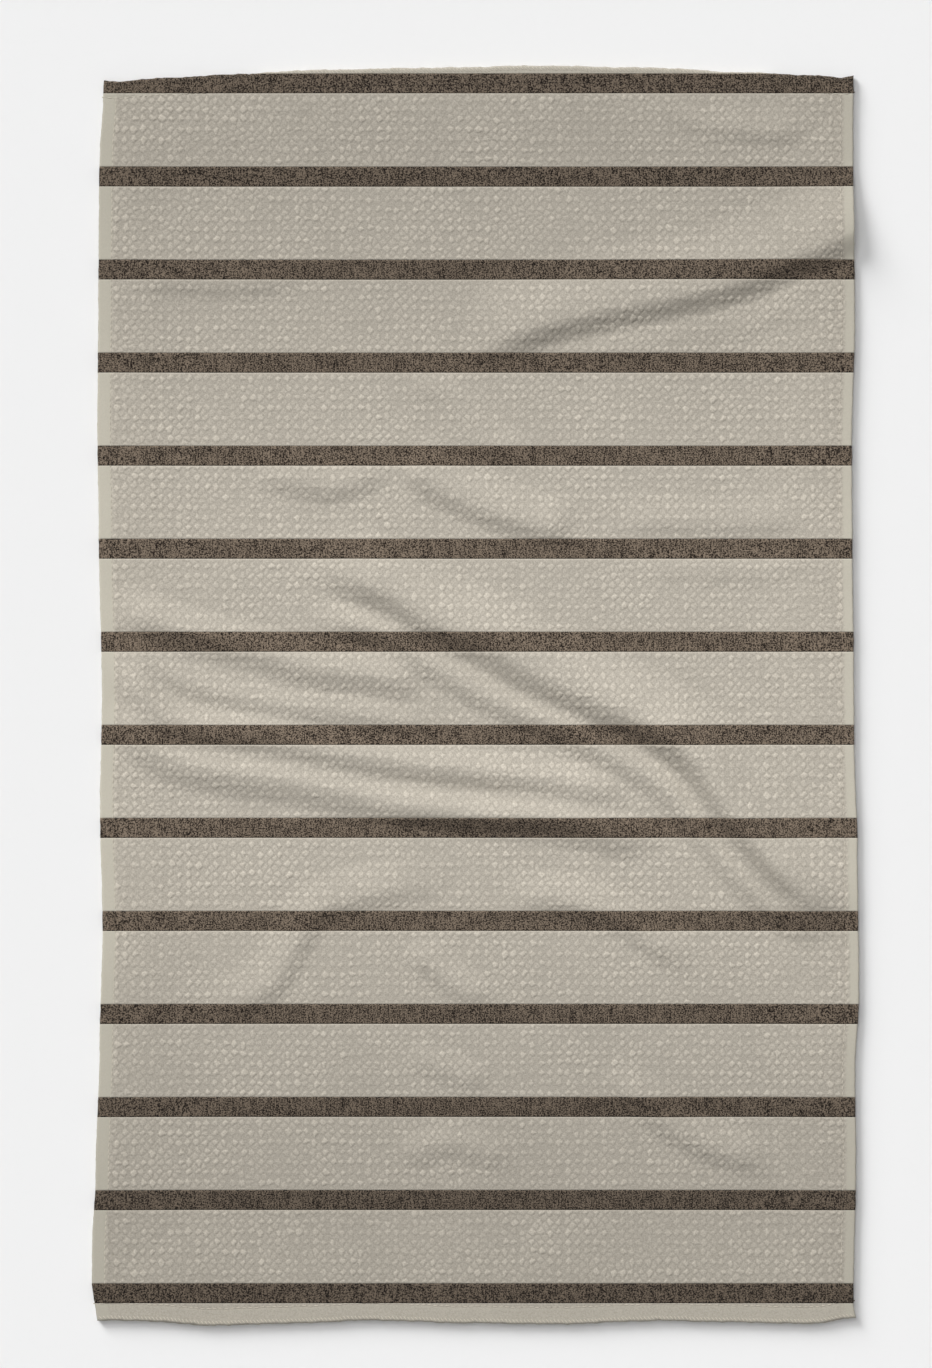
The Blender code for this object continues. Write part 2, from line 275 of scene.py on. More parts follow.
CREASES = (
    Crease(((90, 292), (103, 289), (123, 283), (153, 280), (172, 283)), 2.2, 11, 22),
    Crease(((-6, 164), (22, 176), (53, 185), (83, 191), (113, 197), (138, 204), (158, 213),
            (176, 220), (215, 238), (240, 250)), 5.0, 14, 34, 0.16),
    Crease(((27, 156), (63, 167), (103, 176), (143, 184), (178, 197)), 0.6, 11, 14),
    Crease(((-179, 206), (-149, 204), (-118, 203), (-83, 206)), 1.6, 11, 12),
    Crease(((-116, 109), (-93, 103), (-71, 100), (-51, 106), (-40, 115)), 2.1, 11, 16),
    Crease(((-42, 119), (-28, 104), (-8, 93), (17, 84), (50, 75)), 3.3, 12, 20, 0.16),
    Crease(((63, 81), (93, 83), (133, 82), (173, 85)), 1.3, 10, 16),
    Crease(((-40, 154), (-18, 148), (-7, 133), (5, 121), (32, 117)), 1.1, 10, 14),
    Crease(((78, 62), (113, 58), (143, 58), (176, 65)), 0.8, 10, 12),
    Crease(((-94, 64), (-53, 48), (-23, 30), (2, 20), (27, 5), (58, -9), (88, -23), (105, -37),
            (123, -63), (143, -88), (178, -124)), 6.6, 16, 28, 0.14),
    Crease(((76, -17), (105, -37), (123, -63), (143, -88), (178, -124)), 3.3, 15, 20, 0.16),
    Crease(((-88, 37), (-53, 28), (-28, 13), (2, -5), (32, -18), (63, -33), (88, -48), (103, -63),
            (123, -89), (153, -116), (178, -131)), 3.0, 11, 11, 0.11),
    Crease(((-187, 41), (-154, 28), (-118, 18), (-83, 8), (-50, 4), (-26, -4)), 3.2, 13, 15, 0.13),
    Crease(((-183, 27), (-159, 8), (-129, -3), (-98, -9), (-48, -15), (-18, -21)), 1.3, 9, 10, 0.12),
    Crease(((-189, 24), (-169, -8), (-149, -22), (-108, -28), (-68, -36), (-28, -42), (8, -46),
            (48, -52), (78, -60)), 3.9, 14, 13, 0.10),
    Crease(((-191, -8), (-164, -35), (-139, -44), (-98, -50), (-58, -58), (-28, -63), (2, -67),
            (32, -69), (63, -75), (95, -83)), 3.7, 15, 13, 0.10),
    Crease(((-62, -59), (-35, -63), (-5, -65), (25, -66), (52, -67), (76, -71)), 2.0, 10, 16),
    Crease(((-134, -176), (-118, -161), (-98, -148), (-86, -128), (-76, -113), (-58, -106),
            (-33, -102), (-10, -100)), 2.1, 11, 18),
    Crease(((12, -105), (48, -109), (68, -116), (83, -126), (108, -143)), 2.5, 11, 16),
    Crease(((-38, -127), (-18, -146), (7, -161)), 2.0, 10, 14),
    Crease(((58, -191), (78, -206), (93, -219), (113, -231), (153, -243)), 2.4, 11, 16),
    Crease(((-38, -183), (-13, -194), (7, -201)), 1.2, 10, 12),
    Crease(((-40, -240), (-13, -231), (20, -240)), 1.4, 11, 12),
)


@dataclass(frozen=True)
class Outline:
    """The towel's outline as it lies: how far each edge lies inside the overall size.

    The first number of a row runs along the edge, from -1 at its low end to 1 at its high end, and
    the second is the inset in metres. Each edge also wavers a little, as a sewn edge does.
    """

    width: float = 0.386
    length: float = 0.634
    left_insets: Table = (
        (-1.00, 0.0026), (-0.93, 0.0), (-0.88, 0.0), (-0.76, 0.0018), (-0.56, 0.0038),
        (-0.37, 0.0053), (-0.18, 0.0040), (0.00, 0.0050), (0.26, 0.0034), (0.42, 0.0027),
        (0.64, 0.0032), (0.80, 0.0035), (0.87, 0.0040), (0.94, 0.0056), (1.00, 0.0060),
    )
    right_insets: Table = (
        (-1.00, 0.0010), (-0.965, 0.0028), (-0.74, 0.0015), (-0.60, 0.0020), (-0.47, 0.0),
        (-0.24, 0.0008), (-0.08, 0.0024), (0.08, 0.0027), (0.20, 0.0033), (0.40, 0.0036),
        (0.60, 0.0021), (0.85, 0.0030), (1.00, 0.0028),
    )
    top_insets: Table = (
        (-1.00, 0.0064), (-0.94, 0.0080), (-0.80, 0.0060), (-0.60, 0.0041), (-0.44, 0.0022),
        (-0.10, 0.0010), (0.16, 0.0), (0.46, 0.0010), (0.70, 0.0034), (0.90, 0.0050),
        (0.95, 0.0062), (1.00, 0.0042),
    )
    bottom_insets: Table = (
        (-1.00, 0.0026), (-0.88, 0.0024), (-0.68, 0.0), (-0.50, 0.0010), (-0.27, 0.0026),
        (-0.02, 0.0012), (0.20, 0.0006), (0.48, 0.0024), (0.68, 0.0016), (0.86, 0.0008),
        (1.00, 0.0040),
    )
    side_waver: float = 0.10 * MM
    end_waver: float = 0.22 * MM
    waver_lengths: tuple[float, ...] = (31 * MM, 13 * MM, 7.1 * MM, 3.7 * MM)
    left_start: float = 1.3
    right_start: float = 2.9
    top_start: float = 4.1
    bottom_start: float = 0.7

    def waver(self, place: Places, size: float, start: float) -> np.ndarray:
        """Adds up a few waves along an edge.

        Args:
            place: Places along the edge.
            size: How far one wave reaches.
            start: A number that sets this edge's waves apart from another's.

        Returns:
            How far the edge strays at each place.
        """
        waves = (np.sin(2 * math.pi * place / length + start * number)
                 for number, length in enumerate(self.waver_lengths, start=1))
        return size * sum(waves) / 2

    def left(self, y: Places) -> np.ndarray:
        """X of the left edge at height y."""
        inset = along(self.left_insets, y / (self.length / 2))
        return inset - self.width / 2 + self.waver(y, self.side_waver, self.left_start)

    def right(self, y: Places) -> np.ndarray:
        """X of the right edge at height y."""
        inset = along(self.right_insets, y / (self.length / 2))
        return self.width / 2 - inset + self.waver(y, self.side_waver, self.right_start)

    def top(self, x: Places) -> np.ndarray:
        """Y of the top edge at x."""
        inset = along(self.top_insets, x / (self.width / 2))
        return self.length / 2 - inset + self.waver(x, self.end_waver, self.top_start)

    def bottom(self, x: Places) -> np.ndarray:
        """Y of the bottom edge at x."""
        inset = along(self.bottom_insets, x / (self.width / 2))
        return inset - self.length / 2 + self.waver(x, self.end_waver, self.bottom_start)

    def from_side(self, x: Places, y: Places) -> np.ndarray:
        """Distance from (x, y) to the nearer long edge."""
        return np.minimum(x - self.left(y), self.right(y) - x)

    def from_end(self, x: Places, y: Places) -> np.ndarray:
        """Distance from (x, y) to the nearer end edge."""
        return np.minimum(self.top(x) - y, y - self.bottom(x))


@dataclass(frozen=True)
class Cloth:
    """The cloth's layers and how high each of them lies."""

    outline: Outline = field(default_factory=Outline)
    plain_thickness: float = 1.4 * MM
    ground_thickness: float = 0.5 * MM
    turning_thickness: float = 1.0 * MM
    bobbin_space: float = 0.4 * MM
    layer_gap: float = 0.3 * MM
    side_hem: float = 8 * MM
    end_hem: float = 10 * MM
    seam_margin: float = 1.5 * MM
    roll: float = 0.9 * MM
    seam_depth: float = 0.14 * MM
    seam_width: float = 0.7 * MM
    side_ramp_start: float = 1 * MM
    side_ramp: float = 45 * MM
    end_ramp_start: float = 6 * MM
    end_ramp: float = 45 * MM
    plain_left: float = 6.8 * MM
    plain_right: float = 4.8 * MM
    plain_to_waffle: float = 1.2 * MM
    hem_blend: float = 1.6 * MM
    end_hem_share: float = 0.35
    calm_end: float = 15 * MM
    calm_blend: float = 30 * MM

    def lift(self, x: np.ndarray, y: np.ndarray) -> np.ndarray:
        """How far the creases raise the cloth, 0 where it lies calm."""
        from_end = self.outline.length / 2 - np.abs(y)
        calm = smooth((from_end - self.calm_end) / self.calm_blend)
        return calm * sum(crease.lift(x, y) for crease in CREASES)

    def hem_raise(self, x: np.ndarray, y: np.ndarray) -> np.ndarray:
        """How far the folded layer below raises the cloth."""
        rise = self.bobbin_space + self.turning_thickness + self.layer_gap
        side = self.outline.from_side(x, y) - self.side_hem - self.side_ramp_start
        end = self.outline.from_end(x, y) - self.end_hem - self.end_ramp_start
        return rise * (1.0 - np.minimum(smooth(side / self.side_ramp), smooth(end / self.end_ramp)))

    def underside(self, x: np.ndarray, y: np.ndarray) -> np.ndarray:
        """Height of the cloth's underside."""
        return self.lift(x, y) + self.hem_raise(x, y)

    def seam_groove(self, x: np.ndarray, y: np.ndarray) -> np.ndarray:
        """How deep the seams draw the face in."""
        side = self.outline.from_side(x, y) - (self.side_hem - self.seam_margin)
        end = self.outline.from_end(x, y) - (self.end_hem - self.seam_margin)
        return self.seam_depth * np.maximum(np.exp(-(side / self.seam_width) ** 2),
                                            np.exp(-(end / self.seam_width) ** 2))

    def fold_drop(self, x: np.ndarray, y: np.ndarray) -> np.ndarray:
        """How far the face drops where the cloth rolls over its edge."""
        inside = np.minimum(self.outline.from_side(x, y), self.outline.from_end(x, y))
        return roll_off(inside, self.roll)

    def from_plain_side(self, x: np.ndarray, y: np.ndarray) -> np.ndarray:
        """Distance from (x, y) to the nearer plain side band, below 0 on it."""
        left = x - self.outline.left(y) - self.plain_left
        return np.minimum(left, self.outline.right(y) - x - self.plain_right)

    def waffle_share(self, x: np.ndarray, y: np.ndarray) -> np.ndarray:
        """How much of the waffle weave shows: 0 on the plain side bands, 1 in the field."""
        return smooth(self.from_plain_side(x, y) / self.plain_to_waffle + 0.5)

    def hem_share(self, x: np.ndarray, y: np.ndarray) -> np.ndarray:
        """How much of the hems' lighter tone shows: 1 on the plain side bands, less at the ends."""
        side = self.from_plain_side(x, y)
        end = self.outline.from_end(x, y) - (self.end_hem - self.seam_margin)
        beside = 1.0 - smooth(side / self.hem_blend + 0.5)
        return np.maximum(beside, self.end_hem_share * (1.0 - smooth(end / self.hem_blend + 0.5)))

    def face(self, x: np.ndarray, y: np.ndarray) -> np.ndarray:
        """Height of the face of flat-woven cloth."""
        drop = self.fold_drop(x, y) + self.seam_groove(x, y)
        return self.underside(x, y) + self.plain_thickness - drop

    def across(self, share: np.ndarray, y: np.ndarray) -> np.ndarray:
        """X at a share of the width, at height y."""
        left = self.outline.left(y)
        return left + share * (self.outline.right(y) - left)

    def column_shares(self, step: float) -> np.ndarray:
        """Places grid columns across the towel.

        Args:
            step: The distance between two columns in the field.

        Returns:
            Shares of the width, closer together where the cloth rolls over its edge.
        """
        rolled = rim(self.roll) / self.outline.width
        count = int(round(self.outline.width * (1.0 - 2 * rolled[-1]) / step))
        inner = np.linspace(rolled[-1], 1.0 - rolled[-1], count + 1)
        return np.concatenate([rolled[:-1], inner, 1.0 - rolled[-2::-1]])

    def grid(self, low: float, high: float, step: float, shares: np.ndarray) -> tuple[np.ndarray, np.ndarray]:
        """Lays a grid of points over the cloth between two straight picks of the weave.

        Args:
            low: Height of the lower pick.
            high: Height of the upper pick.
            step: The distance between two rows.
            shares: Shares of the width where the columns lie.

        Returns:
            X and y of each point, with rows running up and columns to the right. Where the towel's
            edge cuts a pick off, the grid ends at that edge.
        """
        rows = max(2, int(round((high - low) / step)))
        x = self.across(shares, np.full(shares.shape, (low + high) / 2))
        for _ in range(PASSES):
            lower = np.maximum(low, self.outline.bottom(x))
            upper = np.minimum(high, self.outline.top(x))
            x = self.across(shares, (lower + upper) / 2)
        up = np.linspace(0.0, 1.0, rows + 1)[:, None]
        y = lower + (upper - lower) * up
        return self.across(shares[None, :], y), y


def closed_piece(name: str, x: np.ndarray, y: np.ndarray, top: np.ndarray, under: np.ndarray,
                 coarse: int = 1) -> bpy.types.Object:
    """Makes a closed piece from a grid: a face, an underside and walls.

    Args:
        name: The object's name.
        x: X of the grid's points, with columns running to the right.
        y: Y of the grid's points, with rows running up.
        top: Heights of the face.
        under: Heights of the underside.
        coarse: How many cells of the face one cell of the underside spans.

    Returns:
        The new object.
    """
    rows, columns = x.shape
    row_picks = sorted({*range(0, rows - 1, coarse), rows - 1})
    column_picks = sorted({*range(0, columns - 1, coarse), columns - 1})
    picked = np.ix_(row_picks, column_picks)
    face_points = np.stack([x, y, top], axis=-1).reshape(-1, 3)
    under_points = np.stack([x[picked], y[picked], under[picked]], axis=-1).reshape(-1, 3)
    face = np.arange(rows * columns).reshape(rows, columns)
    back = face.size + np.arange(len(row_picks) * len(column_picks)).reshape(picked[0].size, -1)
    faces = np.stack([face[:-1, :-1], face[:-1, 1:], face[1:, 1:], face[1:, :-1]], axis=-1)
    backs = np.stack([back[:-1, :-1], back[1:, :-1], back[1:, 1:], back[:-1, 1:]], axis=-1)
    polygons = [*faces.reshape(-1, 4).tolist(), *backs.reshape(-1, 4).tolist()]
    for m, (a, b) in enumerate(zip(column_picks, column_picks[1:])):
        polygons.append([back[0, m], back[0, m + 1], *face[0, a:b + 1][::-1]])
        polygons.append([back[-1, m + 1], back[-1, m], *face[-1, a:b + 1]])
    for m, (a, b) in enumerate(zip(row_picks, row_picks[1:])):
        polygons.append([back[m + 1, 0], back[m, 0], *face[a:b + 1, 0]])
        polygons.append([back[m, -1], back[m + 1, -1], *face[a:b + 1, -1][::-1]])
    points = np.vstack([face_points, under_points])
    mesh = bpy.data.meshes.new(name)
    mesh.from_pydata(points.tolist(), [], [list(map(int, corners)) for corners in polygons])
    mesh.polygons.foreach_set("use_smooth", np.ones(len(mesh.polygons), dtype=bool))
    mesh.update()
    return put(name, mesh)


def keep_shares(made: bpy.types.Object, name: str, values: np.ndarray) -> None:
    """Stores a number on each point of a piece's face, and 0 on the rest of it.

    Args:
        made: A piece from closed_piece.
        name: The attribute's name.
        values: One number for each point of the grid.
    """
    stored = np.zeros(len(made.data.vertices), dtype=np.float32)
    stored[:values.size] = values.reshape(-1)
    made.data.attributes.new(name, "FLOAT", "POINT").data.foreach_set("value", stored)


def with_nodes(made: bpy.types.Object, tree: bpy.types.NodeTree, inputs: dict[str, Any]) -> bpy.types.Object:
    """Runs a geometry tree on a piece and keeps the result as a plain mesh.

    Args:
        made: The piece.
        tree: The geometry tree.
        inputs: Values for the tree's named inputs.

    Returns:
        The same object with its new mesh.
    """
    modifier = made.modifiers.new(tree.name, "NODES")
    modifier.node_group = tree
    for item in tree.interface.items_tree:
        if item.item_type == "SOCKET" and item.in_out == "INPUT" and item.name in inputs:
            modifier[item.identifier] = inputs[item.name]
    bpy.context.view_layer.update()
    graph = bpy.context.evaluated_depsgraph_get()
    result = bpy.data.meshes.new_from_object(
        made.evaluated_get(graph), preserve_all_data_layers=True, depsgraph=graph)
    made.modifiers.remove(modifier)
    old = made.data
    made.data = result
    result.name = made.name
    if old.users == 0:
        bpy.data.batch_remove([old])
    return made


def new_tree(name: str, inputs: dict[str, tuple[str, Any]]) -> tuple[bpy.types.NodeTree, bpy.types.Node]:
    """Starts a geometry tree.

    Args:
        name: The tree's name.
        inputs: For each input after the geometry, its socket type and default value.

    Returns:
        The tree, and its group input node.
    """
    tree = bpy.data.node_groups.new(name, "GeometryNodeTree")
    tree.interface.new_socket("Geometry", in_out="INPUT", socket_type="NodeSocketGeometry")
    for label, (kind, value) in inputs.items():
        socket = tree.interface.new_socket(label, in_out="INPUT", socket_type=kind)
        if value is not None:
            socket.default_value = value
    tree.interface.new_socket("Geometry", in_out="OUTPUT", socket_type="NodeSocketGeometry")
    return tree, add(tree, "NodeGroupInput")


def close_tree(tree: bpy.types.NodeTree, start: bpy.types.Node, geometry: bpy.types.NodeSocket) -> None:
    """Ends a geometry tree in real geometry that carries its material.

    Args:
        tree: The tree.
        start: The tree's group input node, which has a Material socket.
        geometry: What the tree has made.
    """
    real = add(tree, "GeometryNodeRealizeInstances", inputs={"Geometry": geometry})
    dressed = add(tree, "GeometryNodeSetMaterial", inputs={
        "Geometry": real, "Material": start.outputs["Material"]})
    add(tree, "NodeGroupOutput", inputs={"Geometry": dressed})


@dataclass(frozen=True)
class WaffleWeave:
    """The lumps of waffle cloth: full ones in straight rows, with slighter ones between them.

    The rows stray a little, no two lumps are of one shape, and thin gaps part them all.
    """

    cell: tuple[float, float, float] = (4.55 * MM, 5.0 * MM, 1.0)
    stray: float = 3.0 * MM
    stray_squash: tuple[float, float, float] = (0.35, 1.0, 0.0)
    stray_scale: float = 110.0
    relief: float = 0.42 * MM
    loose: float = 0.5
    gap: float = 0.03
    crown: float = 0.25
    full: tuple[float, float] = (0.55, 1.15)
    slight: tuple[float, float] = (0.1, 0.6)
    patch_scale: float = 28.0
    patch_range: tuple[float, float] = (0.6, 1.2)

    def lumps(self, tree: bpy.types.NodeTree, place: bpy.types.NodeSocket) -> bpy.types.NodeSocket:
        """Adds nodes for how far each place stands up.

        Args:
            tree: A shader or geometry tree.
            place: Places on the cloth, in metres.

        Returns:
            A number that is 0 in the gaps and about 1 on the fullest lumps.
        """
        rows = add(tree, "ShaderNodeVectorMath", {"operation": "MULTIPLY"}, {
            0: place, 1: self.stray_squash})
        drift = add(tree, "ShaderNodeTexNoise", inputs={
            "Vector": rows, "Scale": self.stray_scale, "Detail": 2.0})
        centred = add(tree, "ShaderNodeVectorMath", {"operation": "SUBTRACT"}, {
            0: drift.outputs["Color"], 1: (0.5, 0.5, 0.5)})
        moved = add(tree, "ShaderNodeVectorMath", {"operation": "SCALE"}, {
            0: centred, "Scale": self.stray})
        strayed = add(tree, "ShaderNodeVectorMath", {"operation": "ADD"}, {0: place, 1: moved})
        flat = add(tree, "ShaderNodeVectorMath", {"operation": "MULTIPLY"}, {
            0: strayed, 1: (1.0, 1.0, 0.0)})
        cells = add(tree, "ShaderNodeVectorMath", {"operation": "DIVIDE"}, {0: flat, 1: self.cell})
        # Turned by an eighth, a square grid holds the full lumps and those between them.
        turned = add(tree, "ShaderNodeVectorRotate", {"rotation_type": "Z_AXIS"}, {
            "Vector": cells, "Angle": math.radians(45)})
        lattice = add(tree, "ShaderNodeVectorMath", {"operation": "SCALE"}, {
            0: turned, "Scale": math.sqrt(2.0)})
        edges, whole = (
            add(tree, "ShaderNodeTexVoronoi", {"voronoi_dimensions": "2D", "feature": feature}, {
                "Vector": lattice, "Scale": 1.0, "Randomness": self.loose})
            for feature in ("DISTANCE_TO_EDGE", "F1"))
        dome = add(tree, "ShaderNodeMapRange", {"interpolation_type": "SMOOTHSTEP"}, {
            "Value": edges.outputs["Distance"], "From Min": self.gap, "From Max": self.crown})
        corner = add(tree, "ShaderNodeVectorMath", {"operation": "FLOOR"}, {
            0: whole.outputs["Position"]})
        numbers = add(tree, "ShaderNodeVectorMath", {"operation": "DOT_PRODUCT"}, {
            0: corner, 1: (1.0, 1.0, 0.0)})
        odd = add(tree, "ShaderNodeMath", {"operation": "FLOORED_MODULO"}, {
            0: numbers.outputs["Value"], 1: 2.0})
        chance = add(tree, "ShaderNodeSeparateXYZ", inputs={0: whole.outputs["Color"]})
        full, slight = (
            add(tree, "ShaderNodeMapRange", inputs={
                "Value": chance.outputs[axis], "To Min": low, "To Max": high})
            for axis, (low, high) in (("X", self.full), ("Y", self.slight)))
        size = add(tree, "ShaderNodeMix", {"data_type": "FLOAT"}, {
            "Factor": odd, 2: full, 3: slight})
        lump = add(tree, "ShaderNodeMath", {"operation": "MULTIPLY"}, {0: dome, 1: size})
        patches = add(tree, "ShaderNodeTexNoise", inputs={
            "Vector": place, "Scale": self.patch_scale, "Detail": 2.0})
        strength = add(tree, "ShaderNodeMapRange", inputs={
            "Value": patches, "From Min": NOISE_LOW, "From Max": NOISE_HIGH,
            "To Min": self.patch_range[0], "To Max": self.patch_range[1]})
        patched = add(tree, "ShaderNodeMath", {"operation": "MULTIPLY"}, {0: lump, 1: strength})
        return patched.outputs["Value"]

    def relief_tree(self) -> bpy.types.NodeTree:
        """Builds the lumps as relief.

        Returns:
            A geometry tree that raises the points of a piece where its waffle attribute says.
        """
        tree, start = new_tree("waffle_relief", {
            "Relief": ("NodeSocketFloat", self.relief),
            "Material": ("NodeSocketMaterial", None),
        })
        place = add(tree, "GeometryNodeInputPosition").outputs["Position"]
        share = add(tree, "GeometryNodeInputNamedAttribute", {"data_type": "FLOAT"}, {"Name": "waffle"})
        shared = add(tree, "ShaderNodeMath", {"operation": "MULTIPLY"}, {
            0: self.lumps(tree, place), 1: share.outputs["Attribute"]})
        height = add(tree, "ShaderNodeMath", {"operation": "MULTIPLY"}, {
            0: shared, 1: start.outputs["Relief"]})
        up = add(tree, "ShaderNodeCombineXYZ", inputs={"Z": height})
        raised = add(tree, "GeometryNodeSetPosition", inputs={
            "Geometry": start.outputs["Geometry"], "Offset": up})
        close_tree(tree, start, raised.outputs["Geometry"])
        return tree


def stitch_tree() -> bpy.types.NodeTree:
    """Builds a row of stitches along a line: one slim grain of thread after another.

    Returns:
        A geometry tree that turns a line of edges into stitches.
    """
    tree, start = new_tree("row_of_stitches", {
        "Pitch": ("NodeSocketFloat", 0.003),
        "Length": ("NodeSocketFloat", 0.0025),
        "Thread": ("NodeSocketFloat", 0.0005),
        "Slant": ("NodeSocketFloat", 0.0),
        "Material": ("NodeSocketMaterial", None),
    })
    curve = add(tree, "GeometryNodeMeshToCurve", inputs={"Mesh": start.outputs["Geometry"]})
    paced = add(tree, "GeometryNodeResampleCurve", {"mode": "LENGTH"}, {
        "Curve": curve, "Length": start.outputs["Pitch"]})
    grain = add(tree, "GeometryNodeMeshUVSphere", inputs={"Segments": 8, "Rings": 5, "Radius": 0.5})
    size = add(tree, "ShaderNodeCombineXYZ", inputs={
        "X": start.outputs["Length"], "Y": start.outputs["Thread"], "Z": start.outputs["Thread"]})
    turn = add(tree, "ShaderNodeCombineXYZ", inputs={"Z": start.outputs["Slant"]})
    shaped = add(tree, "GeometryNodeTransform", inputs={
        "Geometry": grain.outputs["Mesh"], "Scale": size, "Rotation": turn})
    soft = add(tree, "GeometryNodeSetShadeSmooth", inputs={"Geometry": shaped})
    tangent = add(tree, "GeometryNodeInputTangent")
    aim = add(tree, "FunctionNodeAlignRotationToVector", {"axis": "X"}, {
        "Vector": tangent.outputs["Tangent"]})
    copies = add(tree, "GeometryNodeInstanceOnPoints", inputs={
        "Points": paced.outputs["Curve"], "Instance": soft.outputs["Geometry"],
        "Rotation": aim.outputs["Rotation"]})
    close_tree(tree, start, copies.outputs["Instances"])
    return tree


@dataclass(frozen=True)
class StripePattern:
    """Where the stripes' yarn lies along the towel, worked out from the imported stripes."""

    first: float
    pitch: float
    height: float
    count: int
    blur: float = 0.1 * MM

    @classmethod
    def from_frame(cls) -> "StripePattern":
        """Reads the stripes' places from the frame.

        Returns:
            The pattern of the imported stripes.
        """
        names = sorted(name for name in frame["nodes"] if name.startswith("stripe_"))
        middles = [sum(corner[1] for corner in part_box(name)) / 2 for name in names]
        low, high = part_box(names[1])
        pitch = (middles[1] - middles[-1]) / (len(names) - 2)
        return cls(middles[1] + pitch, pitch, high[1] - low[1], len(names))

    def mask(self, tree: bpy.types.NodeTree) -> bpy.types.Node:
        """Adds nodes that are 1 on the stripes and 0 between them.

        Args:
            tree: A material's tree.

        Returns:
            The node whose result is the mask.
        """
        place = add(tree, "ShaderNodeTexCoord")
        parts = add(tree, "ShaderNodeSeparateXYZ", inputs={0: place.outputs["Object"]})
        from_first = add(tree, "ShaderNodeMath", {"operation": "SUBTRACT"}, {
            0: self.first, 1: parts.outputs["Y"]})
        folded = add(tree, "ShaderNodeMath", {"operation": "PINGPONG"}, {
            0: from_first, 1: self.pitch / 2})
        inside = add(tree, "ShaderNodeMath", {"operation": "SUBTRACT"}, {
            0: self.height / 2, 1: folded})
        return add(tree, "ShaderNodeMapRange", inputs={
            "Value": inside, "From Min": -self.blur, "From Max": self.blur})


@dataclass(frozen=True)
class Finish:
    """What all the finishes share: cotton's low gloss, and a faint fuzz that catches the light."""

    name: str = "matt"
    colour: str = "#FFFFFF"
    roughness: float = 0.92
    ior: float = 1.45
    specular: float = 0.2
    sheen: float = 0.0
    sheen_roughness: float = 0.6
    bump: float = 0.10 * MM
    bump_strength: float = 0.6

    def surface(self, tree: bpy.types.NodeTree) -> Sockets:
        """Adds the finish's own nodes to a tree.

        Args:
            tree: A material's tree.

        Returns:
            The socket of the colour and that of the fine relief, or None where it has none.
        """
        return None, None

    def material(self) -> bpy.types.Material:
        """Builds the material.

        Returns:
            The material, under the finish's name.
        """
        material = bpy.data.materials.new(self.name)
        material.use_nodes = True
        material.diffuse_color = linear(self.colour)
        tree = material.node_tree
        shader = tree.nodes["Principled BSDF"]
        for socket, value in (
                ("Base Color", linear(self.colour)), ("Metallic", 0.0),
                ("Roughness", self.roughness), ("IOR", self.ior),
                ("Specular IOR Level", self.specular),
                ("Sheen Weight", self.sheen), ("Sheen Roughness", self.sheen_roughness)):
            shader.inputs[socket].default_value = value
        colour, relief = self.surface(tree)
        if colour:
            tree.links.new(colour, shader.inputs["Base Color"])
        if relief:
            bump = add(tree, "ShaderNodeBump", inputs={
                "Height": relief, "Distance": self.bump, "Strength": self.bump_strength})
            tree.links.new(bump.outputs["Normal"], shader.inputs["Normal"])
        return material


@dataclass(frozen=True)
class PaintedLightFalloff:
    """Painted light along the towel: brightest in its middle, duller at its two ends."""

    middle: float = 1.145
    top: float = 0.97
    bottom: float = 0.905
    top_y: float = 0.28
    middle_y: tuple[float, float] = (-0.04, 0.06)
    bottom_y: float = -0.29

    def tone(self, tree: bpy.types.NodeTree) -> bpy.types.NodeSocket:
        """Adds nodes for the painted light along the towel.

        Args:
            tree: A material's tree.

        Returns:
            A number to scale colours by.
        """
        place = add(tree, "ShaderNodeTexCoord").outputs["Object"]
        y = add(tree, "ShaderNodeSeparateXYZ", inputs={0: place}).outputs["Y"]
        up, down = (
            add(tree, "ShaderNodeMapRange", {"interpolation_type": "SMOOTHSTEP"}, {
                "Value": y, "From Min": near, "From Max": far,
                "To Min": self.middle, "To Max": tone})
            for near, far, tone in ((self.middle_y[1], self.top_y, self.top),
                                    (self.middle_y[0], self.bottom_y, self.bottom)))
        return add(tree, "ShaderNodeMath", {"operation": "MINIMUM"}, {0: up, 1: down}).outputs["Value"]


